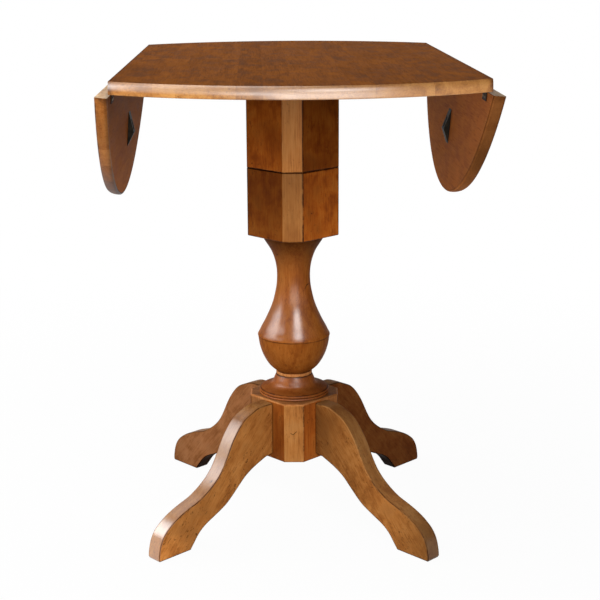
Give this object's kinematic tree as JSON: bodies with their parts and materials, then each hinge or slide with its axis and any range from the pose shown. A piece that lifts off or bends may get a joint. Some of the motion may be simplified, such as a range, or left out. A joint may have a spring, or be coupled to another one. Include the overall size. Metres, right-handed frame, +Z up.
{
  "type": "drop-leaf pedestal table",
  "caption": "Counter-height round pedestal table in distressed brown wood; segment leaves hang on hinges at both sides and lift level, held by prop arms; turned column on splayed legs",
  "frame": {"origin": "on the floor under the middle of the whole outline; the column axis is 6.9 mm to the right of it, because the left leaf hangs further out than the right one", "axes": "+Z up, hinge lines along Y, +X to the right leaf; the picture looks along +Y from the front"},
  "size_m": [0.6784, 1.0668, 0.9144],
  "materials": {
    "top_wood": "distressed brown stain, satin lacquer, dark glaze at the edges",
    "base_wood": "distressed brown stain, satin lacquer, dark glaze in the joints",
    "hinge_steel": "dull antique steel",
    "black_steel": "black enamel",
    "black_plastic": "matt black moulding",
    "bolt_steel": "zinc plated",
    "glide_nylon": "off-white nylon"
  },
  "bodies": {
    "table": {"top_center": "top_wood", "mounting_board": "base_wood", "tie_rod": "bolt_steel", "column_block": "base_wood", "baluster": "base_wood", "hub": "base_wood", "riser_board_1": "base_wood", "riser_board_2": "base_wood", "riser_board_3": "base_wood", "riser_board_4": "base_wood", "riser_stave_1": "base_wood", "riser_stave_2": "base_wood", "riser_stave_3": "base_wood", "riser_stave_4": "base_wood", "board_screw_1": "bolt_steel", "board_screw_2": "bolt_steel", "board_screw_3": "bolt_steel", "board_screw_4": "bolt_steel", "leg_1": "base_wood", "leg_2": "base_wood", "leg_3": "base_wood", "leg_4": "base_wood", "glide_1": "glide_nylon", "glide_2": "glide_nylon", "glide_3": "glide_nylon", "glide_4": "glide_nylon", "leg_bolt_1_low": "bolt_steel", "leg_bolt_1_high": "bolt_steel", "leg_bolt_2_low": "bolt_steel", "leg_bolt_2_high": "bolt_steel", "leg_bolt_3_low": "bolt_steel", "leg_bolt_3_high": "bolt_steel", "leg_bolt_4_low": "bolt_steel", "leg_bolt_4_high": "bolt_steel", "hinge_slab_plate_left_front": "hinge_steel", "hinge_pin_left_front": "hinge_steel", "hinge_slab_plate_left_back": "hinge_steel", "hinge_pin_left_back": "hinge_steel", "prop_bracket_left": "hinge_steel", "prop_pin_left": "hinge_steel", "hinge_slab_plate_right_front": "hinge_steel", "hinge_pin_right_front": "hinge_steel", "hinge_slab_plate_right_back": "hinge_steel", "hinge_pin_right_back": "hinge_steel", "prop_bracket_right": "hinge_steel", "prop_pin_right": "hinge_steel"},
    "leaf_left_body": {"leaf_left": "top_wood", "leaf_catch_left": "black_plastic", "hinge_leaf_plate_left_front": "hinge_steel", "hinge_leaf_plate_left_back": "hinge_steel"},
    "prop_left_body": {"prop_arm_left": "black_steel"},
    "leaf_right_body": {"leaf_right": "top_wood", "leaf_catch_right": "black_plastic", "hinge_leaf_plate_right_front": "hinge_steel", "hinge_leaf_plate_right_back": "hinge_steel"},
    "prop_right_body": {"prop_arm_right": "black_steel"}
  },
  "joints": [
    {"name": "leaf_left_hinge", "type": "hinge", "parent": "table", "child": "leaf_left_body", "pos_m": [-0.29682, 0, 0.8901], "axis": [0, 1, 0], "range_deg": [0, 85.3]},
    {"name": "leaf_right_hinge", "type": "hinge", "parent": "table", "child": "leaf_right_body", "pos_m": [0.31518, 0, 0.8901], "axis": [0, -1, 0], "range_deg": [0, 94.8]},
    {"name": "prop_left_pivot", "type": "hinge", "parent": "table", "child": "prop_left_body", "pos_m": [-0.26682, 0, 0.8836], "axis": [0, 1, 0], "range_deg": [0, 180]},
    {"name": "prop_right_pivot", "type": "hinge", "parent": "table", "child": "prop_right_body", "pos_m": [0.28518, 0, 0.8836], "axis": [0, -1, 0], "range_deg": [0, 180]}
  ],
  "couplings": [
    {"joint": "prop_left_pivot", "follows": "leaf_left_hinge", "ratio": 2.1101},
    {"joint": "prop_right_pivot", "follows": "leaf_right_hinge", "ratio": 1.8987}
  ]
}
